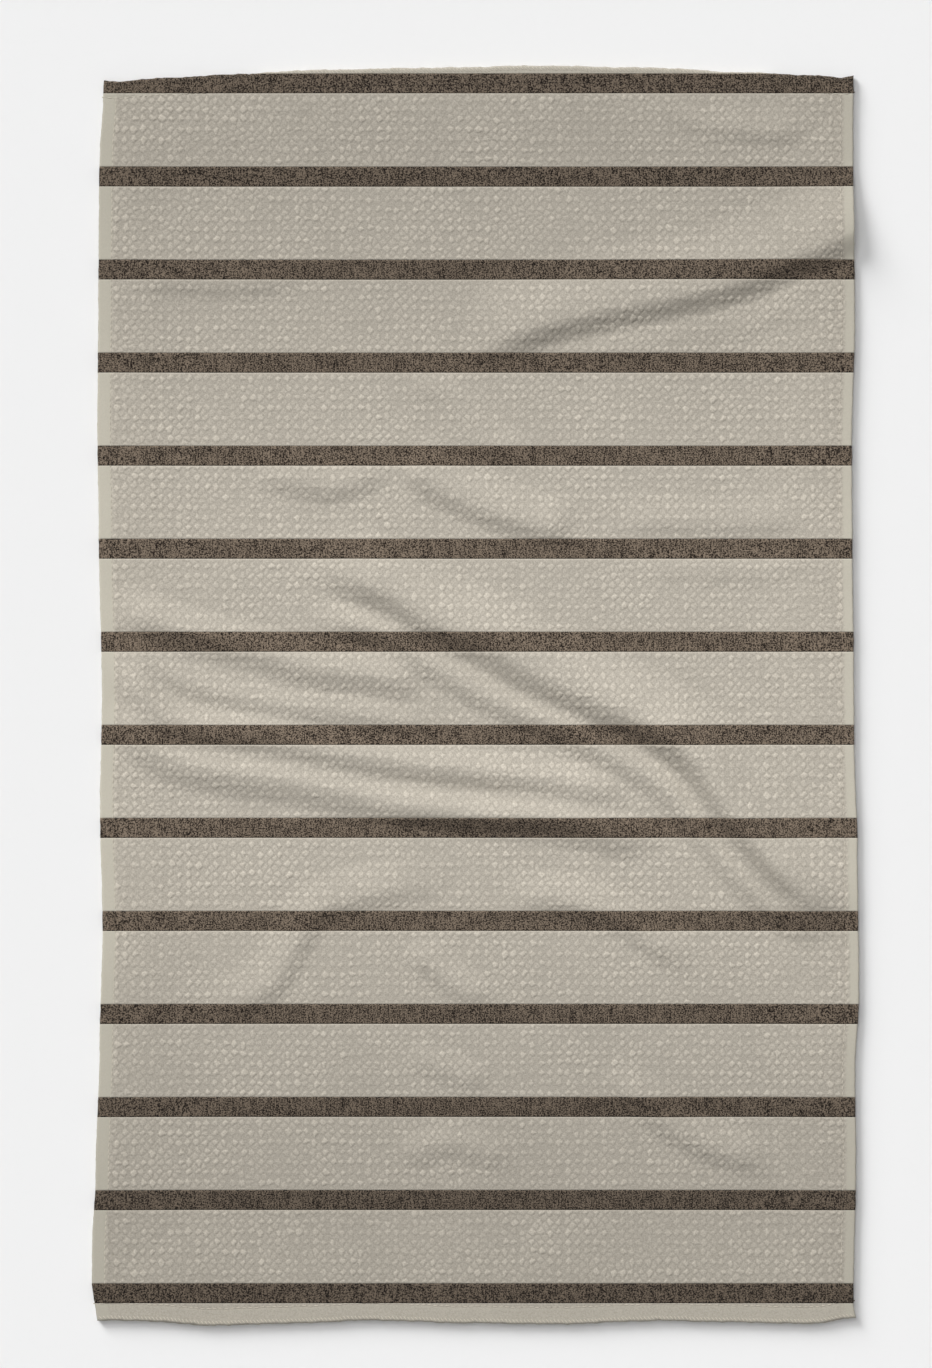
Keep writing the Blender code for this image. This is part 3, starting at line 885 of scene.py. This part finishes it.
@dataclass(frozen=True)
class WaffleCotton(Finish):
    """Undyed cotton and microfibre waffle cloth, brushed soft.

    The yarn is matt and slightly fuzzy, so the eye sees a warm grey-beige with no gloss. Painted
    light on the lumps of yarn and painted shade in the gaps between them stand in for how light
    falls on the weave. Its plain-woven hems are a shade lighter. Fibres are finer than these, which
    are drawn as coarse as they need to be to show.
    """

    name: str = "waffle_cotton"
    colour: str = "#B5AEA2"
    pale: str = "#C8C1B4"
    shade: str = "#9B9488"
    hem_colour: str = "#BAB5A7"
    # Painted shade in the gaps between lumps, and painted light on the lumps.
    painted_pit_shade: float = 0.86
    painted_lump_light: float = 1.14
    evenness: float = 0.3
    hem_evenness: float = 0.85
    fibre: float = 0.7 * MM
    twill: float = 0.8 * MM
    twill_turn: float = math.radians(-52)
    twill_share: float = 0.35
    patch_scale: float = 22.0
    patch_range: tuple[float, float] = (0.975, 1.02)
    sheen: float = 0.08
    bump: float = 0.16 * MM
    bump_strength: float = 0.7
    # Painted light: the cloth is made brightest in the towel's middle and darker at its ends.
    painted_falloff: PaintedLightFalloff = field(default_factory=PaintedLightFalloff)
    weave: WaffleWeave = field(default_factory=WaffleWeave)

    def surface(self, tree: bpy.types.NodeTree) -> Sockets:
        """Adds the weave's tones, its painted light and shade, and its threads, after the pieces' waffle and
        hem attributes.

        Args:
            tree: A material's tree.

        Returns:
            The colour and the relief of the threads.
        """
        place = add(tree, "ShaderNodeTexCoord").outputs["Object"]
        share, hem_share = (
            add(tree, "ShaderNodeAttribute", {"attribute_name": kept}).outputs["Fac"]
            for kept in ("waffle", "hem"))
        lumps = self.weave.lumps(tree, place)
        fibres = add(tree, "ShaderNodeTexNoise", inputs={
            "Vector": place, "Scale": 1.0 / self.fibre, "Detail": 2.0, "Roughness": 0.65})
        fibre_tone = add(tree, "ShaderNodeMapRange", inputs={
            "Value": fibres, "From Min": NOISE_LOW, "From Max": NOISE_HIGH})
        yarn = add(tree, "ShaderNodeMix", {"data_type": "RGBA"}, {
            "Factor": fibre_tone, 6: linear(self.shade), 7: linear(self.pale)})
        base, hem = (
            add(tree, "ShaderNodeMix", {"data_type": "RGBA"}, {
                "Factor": evenness, 6: yarn.outputs[2], 7: linear(colour)})
            for evenness, colour in ((self.evenness, self.colour), (self.hem_evenness, self.hem_colour)))
        # Painted shade in the gaps and painted light on the lumps' tops, used only as far as the waffle
        # shows.
        painted_lump_shading = add(tree, "ShaderNodeMapRange", inputs={
            "Value": lumps, "To Min": self.painted_pit_shade, "To Max": self.painted_lump_light})
        painted_weave_shading = add(tree, "ShaderNodeMix", {"data_type": "FLOAT"}, {
            "Factor": share, 2: 1.0, 3: painted_lump_shading})
        field_colour = add(tree, "ShaderNodeVectorMath", {"operation": "SCALE"}, {
            0: base.outputs[2], "Scale": painted_weave_shading.outputs[0]})
        woven = add(tree, "ShaderNodeMix", {"data_type": "RGBA"}, {
            "Factor": hem_share, 6: field_colour.outputs[0], 7: hem.outputs[2]})
        patches = add(tree, "ShaderNodeTexNoise", inputs={
            "Vector": place, "Scale": self.patch_scale, "Detail": 2.0})
        patch_tone = add(tree, "ShaderNodeMapRange", inputs={
            "Value": patches, "From Min": NOISE_LOW, "From Max": NOISE_HIGH,
            "To Min": self.patch_range[0], "To Max": self.patch_range[1]})
        # Random patches times painted light, which is brightest in the middle of the towel and darker at its
        # ends.
        tone = add(tree, "ShaderNodeMath", {"operation": "MULTIPLY"}, {
            0: patch_tone, 1: self.painted_falloff.tone(tree)})
        toned = add(tree, "ShaderNodeVectorMath", {"operation": "SCALE"}, {
            0: woven.outputs[2], "Scale": tone})
        turned = add(tree, "ShaderNodeMapping", inputs={
            "Vector": place, "Rotation": (0.0, 0.0, self.twill_turn)})
        ribs = add(tree, "ShaderNodeTexWave", {"wave_type": "BANDS", "bands_direction": "Y"}, {
            "Vector": turned, "Scale": WAVE_PITCH / self.twill, "Distortion": 0.6, "Detail": 1.0,
            "Detail Scale": 2.0})
        rib_share = add(tree, "ShaderNodeMapRange", inputs={
            "Value": share, "To Min": self.twill_share, "To Max": 0.0})
        rib = add(tree, "ShaderNodeMath", {"operation": "MULTIPLY"}, {
            0: ribs.outputs["Fac"], 1: rib_share})
        relief = add(tree, "ShaderNodeMath", {"operation": "ADD"}, {0: fibres, 1: rib})
        return toned.outputs[0], relief.outputs["Value"]


@dataclass(frozen=True)
class HeatheredYarn(Finish):
    """Heathered dark brown yarn in a flat plain weave.

    Dyed and undyed fibres are spun together, so the stripe is a dark taupe that is full of light
    and dark specks, in line with the upright threads. It is matt and lies flat. The threads are
    finer than the specks, which are drawn as coarse as they need to be to show.
    """

    name: str = "heathered_stripe_yarn"
    colour: str = "#5C5147"
    dark: str = "#19110B"
    light: str = "#817364"
    thread: float = 0.55 * MM
    speck: float = 0.66 * MM
    stretch: float = 0.12
    warp_share: float = 0.25
    slub_share: float = 0.15
    level_range: tuple[float, float] = (0.575, 0.835)
    roughness: float = 0.9
    sheen: float = 0.05
    bump_strength: float = 0.5
    # Painted light on the stripes: brightest in the towel's middle and much darker at its ends.
    painted_falloff: PaintedLightFalloff = field(default_factory=lambda: PaintedLightFalloff(middle=1.10, top=0.84, bottom=0.69))

    def surface(self, tree: bpy.types.NodeTree) -> Sockets:
        """Adds the yarn's mixed tones.

        Args:
            tree: A material's tree.

        Returns:
            The colour, and a relief that is high on the light fibres.
        """
        place = add(tree, "ShaderNodeTexCoord").outputs["Object"]
        drawn = add(tree, "ShaderNodeMapping", inputs={
            "Vector": place, "Scale": (1.0, self.stretch, 1.0)})
        warp = add(tree, "ShaderNodeTexNoise", inputs={
            "Vector": drawn, "Scale": 1.0 / self.thread, "Detail": 0.0})
        specks, slubs = (
            add(tree, "ShaderNodeTexNoise", inputs={
                "Vector": place, "Scale": scale / self.speck, "Detail": 1.0})
            for scale in (1.0, self.stretch))
        part = add(tree, "ShaderNodeMath", {"operation": "MULTIPLY_ADD"}, {
            0: warp, 1: self.warp_share, 2: specks.outputs["Fac"]})
        both = add(tree, "ShaderNodeMath", {"operation": "MULTIPLY_ADD"}, {
            0: slubs, 1: self.slub_share, 2: part})
        level = add(tree, "ShaderNodeMapRange", inputs={
            "Value": both, "From Min": self.level_range[0], "From Max": self.level_range[1]})
        mixed = add(tree, "ShaderNodeMix", {"data_type": "RGBA"}, {
            "Factor": level, 6: linear(self.dark), 7: linear(self.light)})
        # The yarn's colour scaled by painted light along the towel.
        toned = add(tree, "ShaderNodeVectorMath", {"operation": "SCALE"}, {
            0: mixed.outputs[2], "Scale": self.painted_falloff.tone(tree)})
        return toned.outputs[0], level.outputs["Result"]


@dataclass(frozen=True)
class StripedCloth(Finish):
    """The back and the folded layers: plain-woven cotton, with the stripes going right through.

    It is matt and nearly even. Its threads are drawn as coarse as they need to be to show.
    """

    name: str = "striped_cloth_back"
    colour: str = "#C0B9AB"
    sheen: float = 0.06
    yarn: HeatheredYarn = field(default_factory=HeatheredYarn)
    weave: float = 0.8 * MM
    coarseness: float = 0.7
    tone_range: tuple[float, float] = (0.94, 1.05)
    pattern: StripePattern = field(default_factory=StripePattern.from_frame)

    def surface(self, tree: bpy.types.NodeTree) -> Sockets:
        """Adds the plain cloth's threads, and the yarn's tones where the stripes lie.

        Args:
            tree: A material's tree.

        Returns:
            The colour and the relief of the threads.
        """
        place = add(tree, "ShaderNodeTexCoord").outputs["Object"]
        mask = self.pattern.mask(tree)
        # The stripes here carry the yarn's painted light along the towel.
        dark, _ = self.yarn.surface(tree)
        threads = add(tree, "ShaderNodeTexNoise", inputs={
            "Vector": place, "Scale": self.coarseness / self.weave, "Detail": 2.0})
        tone = add(tree, "ShaderNodeMapRange", inputs={
            "Value": threads, "From Min": NOISE_LOW, "From Max": NOISE_HIGH,
            "To Min": self.tone_range[0], "To Max": self.tone_range[1]})
        light = add(tree, "ShaderNodeVectorMath", {"operation": "SCALE"}, {
            0: linear(self.colour)[:3], "Scale": tone})
        mixed = add(tree, "ShaderNodeMix", {"data_type": "RGBA"}, {
            "Factor": mask, 6: light.outputs[0], 7: dark})
        return mixed.outputs[2], threads.outputs["Fac"]


@dataclass(frozen=True)
class SewingThread(StripedCloth):
    """Spun polyester sewing thread, paler and smoother than the cloth.

    It is pulled so far into the stripes that it takes their tone there.
    """

    name: str = "sewing_thread"
    colour: str = "#C6BFB1"
    roughness: float = 0.6
    bump: float = 0.03 * MM


@dataclass(frozen=True)
class PaperFloor(Finish):
    """A pale paper sweep under the towel, so matt that it shows no gloss at all."""

    name: str = "matt_paper"
    colour: str = "#F1F1F1"
    roughness: float = 1.0
    specular: float = 0.0


def settle(made: bpy.types.Object, slot: str, *nodes: str) -> bpy.types.Object:
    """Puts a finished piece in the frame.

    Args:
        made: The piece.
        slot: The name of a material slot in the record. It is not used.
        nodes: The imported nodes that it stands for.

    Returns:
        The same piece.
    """
    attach(made, BODY)
    if nodes:
        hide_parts(*nodes)
    LOG.info("%s: %d faces", made.name, len(made.data.polygons))
    return made


@dataclass
class WovenBand:
    """One band of the towel's face, between two straight picks of the weave."""

    node: str
    weave: Weave
    low: float
    high: float
    cloth: Cloth
    step: float = 0.55 * MM
    stripe_step: float = 0.8 * MM
    coarse: int = 8
    sunk: float = 0.25 * MM
    bank: float = 1.2 * MM

    @property
    def name(self) -> str:
        """The piece's name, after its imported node."""
        return f"{self.node}_face"

    def mesh(self, shares: np.ndarray) -> bpy.types.Object:
        """Makes the band as a closed piece, before its relief.

        Args:
            shares: Where the columns of the grid lie.

        Returns:
            The new object, with its waffle and hem attributes.
        """
        step = self.stripe_step if self.weave is Weave.STRIPE else self.step
        x, y = self.cloth.grid(self.low, self.high, step, shares)
        under = self.cloth.underside(x, y) + self.cloth.ground_thickness - self.sunk
        waffle = np.zeros(x.shape)
        if self.weave is Weave.WAFFLE:
            inside = np.minimum(y - self.low, self.high - y)
            waffle = self.cloth.waffle_share(x, y) * smooth(inside / self.bank)
        made = closed_piece(self.name, x, y, self.cloth.face(x, y), under, self.coarse)
        keep_shares(made, "waffle", waffle)
        keep_shares(made, "hem", self.cloth.hem_share(x, y))
        return made


@dataclass
class Face:
    """The towel's face: every waffle band, stripe and plain end."""

    cloth: Cloth
    pattern: StripePattern
    waffle: bpy.types.Material
    stripe: bpy.types.Material
    weave: WaffleWeave = field(default_factory=WaffleWeave)
    column_step: float = 0.56 * MM
    least_height: float = 0.15 * MM

    def bands(self) -> list[WovenBand]:
        """Lists the bands from the top down.

        Returns:
            Every band, with its bounds.
        """
        bands, upper = [], self.cloth.outline.length / 2 + BEYOND
        for i in range(self.pattern.count):
            middle = self.pattern.first - self.pattern.pitch * i
            high, low = middle + self.pattern.height / 2, middle - self.pattern.height / 2
            node = f"waffle_band_{i:02d}" if i else "top_plain_end"
            weave = Weave.WAFFLE if i else Weave.PLAIN_END
            bands.append(WovenBand(node, weave, high, upper, self.cloth))
            bands.append(WovenBand(f"stripe_{i + 1:02d}", Weave.STRIPE, low, high, self.cloth))
            upper = low
        bottom = -self.cloth.outline.length / 2 - BEYOND
        bands.append(WovenBand("bottom_plain_end", Weave.PLAIN_END, bottom, upper, self.cloth))
        return bands

    def make(self) -> list[bpy.types.Object]:
        """Makes every band.

        Returns:
            The finished pieces.
        """
        tree = self.weave.relief_tree()
        shares = self.cloth.column_shares(self.column_step)
        made = []
        for band in self.bands():
            piece = band.mesh(self.columns_of(band, shares))
            striped = band.weave is Weave.STRIPE
            material = self.stripe if striped else self.waffle
            if band.weave is Weave.WAFFLE:
                with_nodes(piece, tree, {"Relief": self.weave.relief, "Material": material})
            else:
                piece.data.materials.append(material)
            made.append(settle(piece, "stripe_cloth" if striped else "waffle_cloth", band.node))
        return made

    def columns_of(self, band: WovenBand, shares: np.ndarray) -> np.ndarray:
        """Leaves out the columns where the towel's edge cuts a band off.

        Args:
            band: The band.
            shares: Every column of the grid.

        Returns:
            The columns that the band covers.
        """
        x = self.cloth.across(shares, np.full(shares.shape, (band.low + band.high) / 2))
        low = np.maximum(band.low, self.cloth.outline.bottom(x))
        high = np.minimum(band.high, self.cloth.outline.top(x))
        covered = np.nonzero(high - low > self.least_height)[0]
        return shares[covered[0]:covered[-1] + 1]


@dataclass
class GroundCloth:
    """The web itself: the whole towel as one thin sheet, which the face's relief lies on."""

    cloth: Cloth
    material: bpy.types.Material
    step: float = 2.4 * MM
    thickness: float = 0.4 * MM

    def make(self) -> bpy.types.Object:
        """Makes the sheet.

        Returns:
            The finished piece.
        """
        half = self.cloth.outline.length / 2 + BEYOND
        shares = self.cloth.column_shares(self.step)
        x, y = self.cloth.grid(-half, half, self.step, shares)
        under = self.cloth.underside(x, y)
        piece = closed_piece("ground_cloth", x, y, under + self.thickness, under)
        piece.data.materials.append(self.material)
        return settle(piece, "waffle_cloth")


@dataclass(frozen=True)
class Edge:
    """One edge of the towel, for what lies along it."""

    side: Side
    outline: Outline
    step: float = 2.0 * MM

    def strip(self, insets: np.ndarray, clear: float) -> tuple[np.ndarray, np.ndarray]:
        """Lays a grid along the edge.

        Args:
            insets: Distances inside the edge, in rising order.
            clear: How far the strip stays from the two edges that it runs to.

        Returns:
            X and y of the points, with rows running up and columns to the right.
        """
        outline, near = self.outline, self.side in (Side.LEFT, Side.BOTTOM)
        sign = -1.0 if near else 1.0
        ordered = insets if near else insets[::-1]
        if self.side.upright:
            edge = outline.left if near else outline.right
            low = outline.bottom(edge(-outline.length / 2)) + clear
            high = outline.top(edge(outline.length / 2)) - clear
            y = np.linspace(low, high, int((high - low) / self.step))[:, None] + 0.0 * ordered
            return edge(y) - sign * ordered[None, :], y
        edge = outline.bottom if near else outline.top
        shares = np.linspace(0.0, 1.0, int(outline.width / self.step))[None, :]
        y = sign * outline.length / 2 - sign * ordered[:, None]
        for _ in range(PASSES):
            low, high = outline.left(y) + clear, outline.right(y) - clear
            x = low + shares * (high - low)
            y = edge(x) - sign * ordered[:, None]
        return x, y


@dataclass(frozen=True)
class Stitches:
    """How one thread is stitched along a line."""

    tree: bpy.types.NodeTree
    thread: bpy.types.Material
    pitch: float = 3.0 * MM
    length: float = 2.5 * MM
    width: float = 0.5 * MM
    slant: float = 0.0

    def sew(self, name: str, x: np.ndarray, y: np.ndarray, z: np.ndarray) -> bpy.types.Object:
        """Sews one row of stitches.

        Args:
            name: The object's name.
            x: X of the points that the row runs through.
            y: Y of the points.
            z: Heights of the points.

        Returns:
            The stitches as one mesh.
        """
        points = np.stack([x, y, z], axis=-1).reshape(-1, 3)
        mesh = bpy.data.meshes.new(name)
        mesh.from_pydata(points.tolist(), [(i, i + 1) for i in range(len(points) - 1)], [])
        return with_nodes(put(name, mesh), self.tree, {
            "Pitch": self.pitch, "Length": self.length, "Thread": self.width,
            "Slant": self.slant, "Material": self.thread})


@dataclass
class Hem:
    """One hem: the folded layer under an edge, and the two threads of its seam."""

    side: Side
    cloth: Cloth
    folded: bpy.types.Material
    stitches: Stitches
    spans: int = 6
    thread_rise: float = 0.1 * MM

    @property
    def width(self) -> float:
        """How wide the folded layer is."""
        return self.cloth.side_hem if self.side.upright else self.cloth.end_hem

    @property
    def edge(self) -> Edge:
        """The edge that the hem lies along."""
        return Edge(self.side, self.cloth.outline)

    def turning(self) -> bpy.types.Object:
        """Makes the folded layer, which rolls up to the edge.

        Returns:
            The finished piece.
        """
        thick, outline = self.cloth.turning_thickness, self.cloth.outline
        insets = np.concatenate([rim(thick), np.linspace(thick, self.width, self.spans + 1)[1:]])
        clear = 0.0 if not self.side.upright else self.cloth.end_hem + self.cloth.layer_gap
        x, y = self.edge.strip(insets, clear)
        inside = outline.from_side(x, y) if self.side.upright else outline.from_end(x, y)
        base = self.cloth.lift(x, y) + self.cloth.bobbin_space
        over = base + thick + self.cloth.layer_gap
        under = base + roll_off(inside, thick)
        piece = closed_piece(f"{self.side.value}_hem_fold", x, y, over, under)
        piece.data.materials.append(self.folded)
        return settle(piece, "hem_cloth", f"{self.side.value}_hem_turning")

    def seam(self, thread: str, height: Callable[[np.ndarray, np.ndarray], np.ndarray]) -> bpy.types.Object:
        """Makes one thread of the seam as a row of stitches.

        Args:
            thread: Which thread it is, needle or bobbin.
            height: Gives the height of the thread's middle at x and y.

        Returns:
            The finished piece.
        """
        inset = np.array([self.width - self.cloth.seam_margin])
        clear = self.cloth.layer_gap if not self.side.upright else self.cloth.end_hem
        x, y = self.edge.strip(inset, clear)
        name = f"{self.side.value}_hem_{thread}"
        piece = self.stitches.sew(f"{name}_stitches", x, y, height(x, y))
        return settle(piece, "seam_thread", f"{name}_thread")

    def make(self) -> list[bpy.types.Object]:
        """Makes the hem.

        Returns:
            The folded layer, the needle thread and the bobbin thread.
        """
        cloth, rise = self.cloth, self.thread_rise
        needle = self.seam("needle", lambda x, y: cloth.face(x, y) + rise)
        bobbin = self.seam("bobbin", lambda x, y: cloth.lift(x, y) + cloth.bobbin_space - rise)
        return [self.turning(), needle, bobbin]


@dataclass
class Overlock:
    """The overlock stitching along one end: slanted strokes over the edge."""

    side: Side
    cloth: Cloth
    stitches: Stitches
    inset: float = 1.5 * MM
    clear: float = 2.0 * MM
    thread_rise: float = 0.05 * MM

    def make(self) -> bpy.types.Object:
        """Makes the stitching.

        Returns:
            The finished piece.
        """
        x, y = Edge(self.side, self.cloth.outline).strip(np.array([self.inset]), self.clear)
        height = self.cloth.face(x, y) + self.thread_rise
        piece = self.stitches.sew(f"{self.side.value}_overlock_stitches", x, y, height)
        return settle(piece, "overlock_thread", f"{self.side.value}_overlock_thread")


class Lit(Enum):
    """What a lamp shines on."""

    ALL = "all"
    FLOOR = "floor"
    TOWEL = "towel"


@dataclass(frozen=True)
class SoftSun:
    """A broad lamp far away, as bright on a level surface as its share of all the light."""

    name: str
    way: tuple[float, float, float]
    share: float
    angle: float
    lit: Lit = Lit.ALL

    def make(self, floor: bpy.types.Object) -> None:
        """Makes the lamp.

        Args:
            floor: The floor, which the lamp may be kept off or kept to.
        """
        x, y, z = self.way
        across = math.hypot(x, y)
        data = bpy.data.lights.new(self.name, "SUN")
        data.energy = math.pi * self.share * math.hypot(across, z) / z
        data.angle = self.angle
        lamp = put(self.name, data)
        lamp.rotation_euler = (math.atan2(across, z), 0.0, math.atan2(x, -y))
        if self.lit is Lit.ALL:
            return
        receivers = bpy.data.collections.new(f"{self.name}_receivers")
        receivers.objects.link(floor)
        kept_off = self.lit is Lit.TOWEL
        receivers.collection_objects[0].light_linking.link_state = "EXCLUDE" if kept_off else "INCLUDE"
        lamp.light_linking.receiver_collection = receivers


@dataclass
class Studio:
    """The pale floor, the soft light and the camera straight above."""

    view_middle: tuple[float, float] = (-4.8 * MM, 5.83 * MM)
    view_height: float = 689 * MM
    distance: float = 3.0
    sensor: float = 0.036
    floor_size: float = 8.0
    sky: float = 0.33
    suns: tuple[SoftSun, ...] = (
        SoftSun("fill_sun", (-0.35, 0.75, 1.0), 0.15, math.radians(25)),
        SoftSun("towel_sun", (-0.35, 0.75, 0.72), 0.52, math.radians(18), Lit.TOWEL),
        SoftSun("floor_sun", (-0.68, 0.82, 0.37), 0.45, math.radians(26), Lit.FLOOR),
        SoftSun("floor_fill", (0.0, 0.0, 1.0), 0.07, math.radians(40), Lit.FLOOR),
    )

    def floor(self) -> bpy.types.Object:
        """Makes the floor.

        Returns:
            The floor.
        """
        half = self.floor_size / 2
        corners = [(-half, -half, 0.0), (half, -half, 0.0), (half, half, 0.0), (-half, half, 0.0)]
        mesh = bpy.data.meshes.new("floor")
        mesh.from_pydata(corners, [], [(0, 1, 2, 3)])
        mesh.materials.append(PaperFloor().material())
        made = put("floor", mesh)
        return made

    def lights(self, floor: bpy.types.Object) -> None:
        """Makes the sky and the soft suns from the upper left.

        Args:
            floor: The floor.
        """
        world = bpy.data.worlds.new("studio_sky")
        world.use_nodes = True
        background = world.node_tree.nodes["Background"]
        background.inputs["Color"].default_value = (1.0, 1.0, 1.0, 1.0)
        background.inputs["Strength"].default_value = self.sky
        bpy.context.scene.world = world
        for sun in self.suns:
            sun.make(floor)

    def camera(self) -> None:
        """Sets the camera straight above, with a long lens."""
        data = bpy.data.cameras.new("camera")
        data.sensor_fit = "VERTICAL"
        data.sensor_height = self.sensor / MM
        data.lens = self.sensor / MM * self.distance / self.view_height
        data.clip_end = 100.0
        made = put("camera", data)
        made.location = (*self.view_middle, self.distance)
        bpy.context.scene.camera = made

    def make(self) -> None:
        """Makes the whole studio."""
        self.lights(self.floor())
        self.camera()
        bpy.context.scene.view_settings.view_transform = "Standard"


def main() -> None:
    """Builds the towel and the studio round it."""
    logging.basicConfig(level=logging.INFO, format="%(name)s: %(message)s")
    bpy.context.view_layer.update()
    cloth = Cloth()
    pattern = StripePattern.from_frame()
    waffle, stripe = WaffleCotton().material(), HeatheredYarn().material()
    back, thread = StripedCloth(pattern=pattern).material(), SewingThread(pattern=pattern).material()
    row = stitch_tree()
    lockstitch = Stitches(row, thread)
    overlock = Stitches(row, thread, pitch=1.9 * MM, length=2.6 * MM, slant=math.radians(-50))
    ground = GroundCloth(cloth, back).make()
    pieces = Face(cloth, pattern, waffle, stripe).make()
    for side in Side:
        pieces += Hem(side, cloth, back, lockstitch).make()
    for side in (Side.TOP, Side.BOTTOM):
        pieces.append(Overlock(side, cloth, overlock).make())
    Studio().make()
    LOG.info("%d pieces", len(pieces) + 1)


if __name__ == "__main__":
    main()
